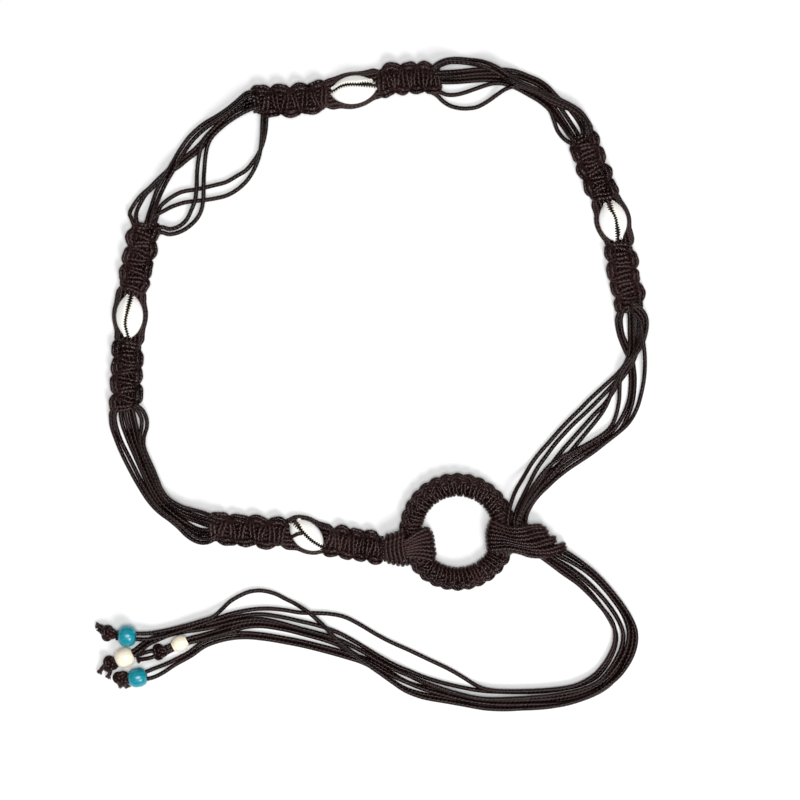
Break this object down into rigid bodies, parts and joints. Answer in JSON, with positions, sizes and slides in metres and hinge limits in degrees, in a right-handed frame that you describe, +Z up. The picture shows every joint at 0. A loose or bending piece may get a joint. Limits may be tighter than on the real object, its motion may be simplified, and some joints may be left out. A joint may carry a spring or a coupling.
{
  "type": "rope belt",
  "caption": "Dark brown waxed-cord macrame belt laid in an open loop, with knotted bands holding cowrie shells, a wrapped ring, a knot and a beaded cord tail.",
  "frame": {"origin": "middle of the whole laid-out belt's box in X and Y, on the surface that it lies on", "axes": "+Z up from the surface, +Y from the beaded tail towards the far side of the loop, +X to the right seen from above"},
  "size_m": [0.2774, 0.3268, 0.0112],
  "materials": {
    "waxed_cord": "waxed cotton, soft sheen",
    "cowrie_shell": "polished shell",
    "turquoise_wood": "dyed and lacquered",
    "natural_wood": "pale, satin"
  },
  "bodies": {
    "root": {"bottom_band": "waxed_cord", "bottom_left_cord_1": "waxed_cord", "bottom_left_cord_2": "waxed_cord", "bottom_left_cord_3": "waxed_cord", "bottom_left_cord_4": "waxed_cord", "bottom_shell": "cowrie_shell", "end_knot_1": "waxed_cord", "end_knot_2": "waxed_cord", "end_knot_3": "waxed_cord", "end_knot_4": "waxed_cord", "left_band": "waxed_cord", "left_shell": "cowrie_shell", "left_top_cord_1": "waxed_cord", "left_top_cord_2": "waxed_cord", "left_top_cord_3": "waxed_cord", "left_top_cord_4": "waxed_cord", "left_top_cord_5": "waxed_cord", "left_top_cord_6": "waxed_cord", "natural_bead_1": "natural_wood", "natural_bead_2": "natural_wood", "right_band": "waxed_cord", "right_ring_cord_1": "waxed_cord", "right_ring_cord_2": "waxed_cord", "right_ring_cord_3": "waxed_cord", "right_ring_cord_4": "waxed_cord", "right_ring_cord_5": "waxed_cord", "right_shell": "cowrie_shell", "ring": "waxed_cord", "ring_binding": "waxed_cord", "ring_hitch": "waxed_cord", "ring_knot": "waxed_cord", "ring_knot_loops": "waxed_cord", "tail_cord_1": "waxed_cord", "tail_cord_2": "waxed_cord", "tail_cord_3": "waxed_cord", "tail_cord_4": "waxed_cord", "tail_cord_5": "waxed_cord", "top_band": "waxed_cord", "top_right_cord_1": "waxed_cord", "top_right_cord_2": "waxed_cord", "top_right_cord_3": "waxed_cord", "top_right_cord_4": "waxed_cord", "top_right_cord_5": "waxed_cord", "top_shell": "cowrie_shell", "turquoise_bead_1": "turquoise_wood", "turquoise_bead_2": "turquoise_wood"}
  },
  "joints": []
}
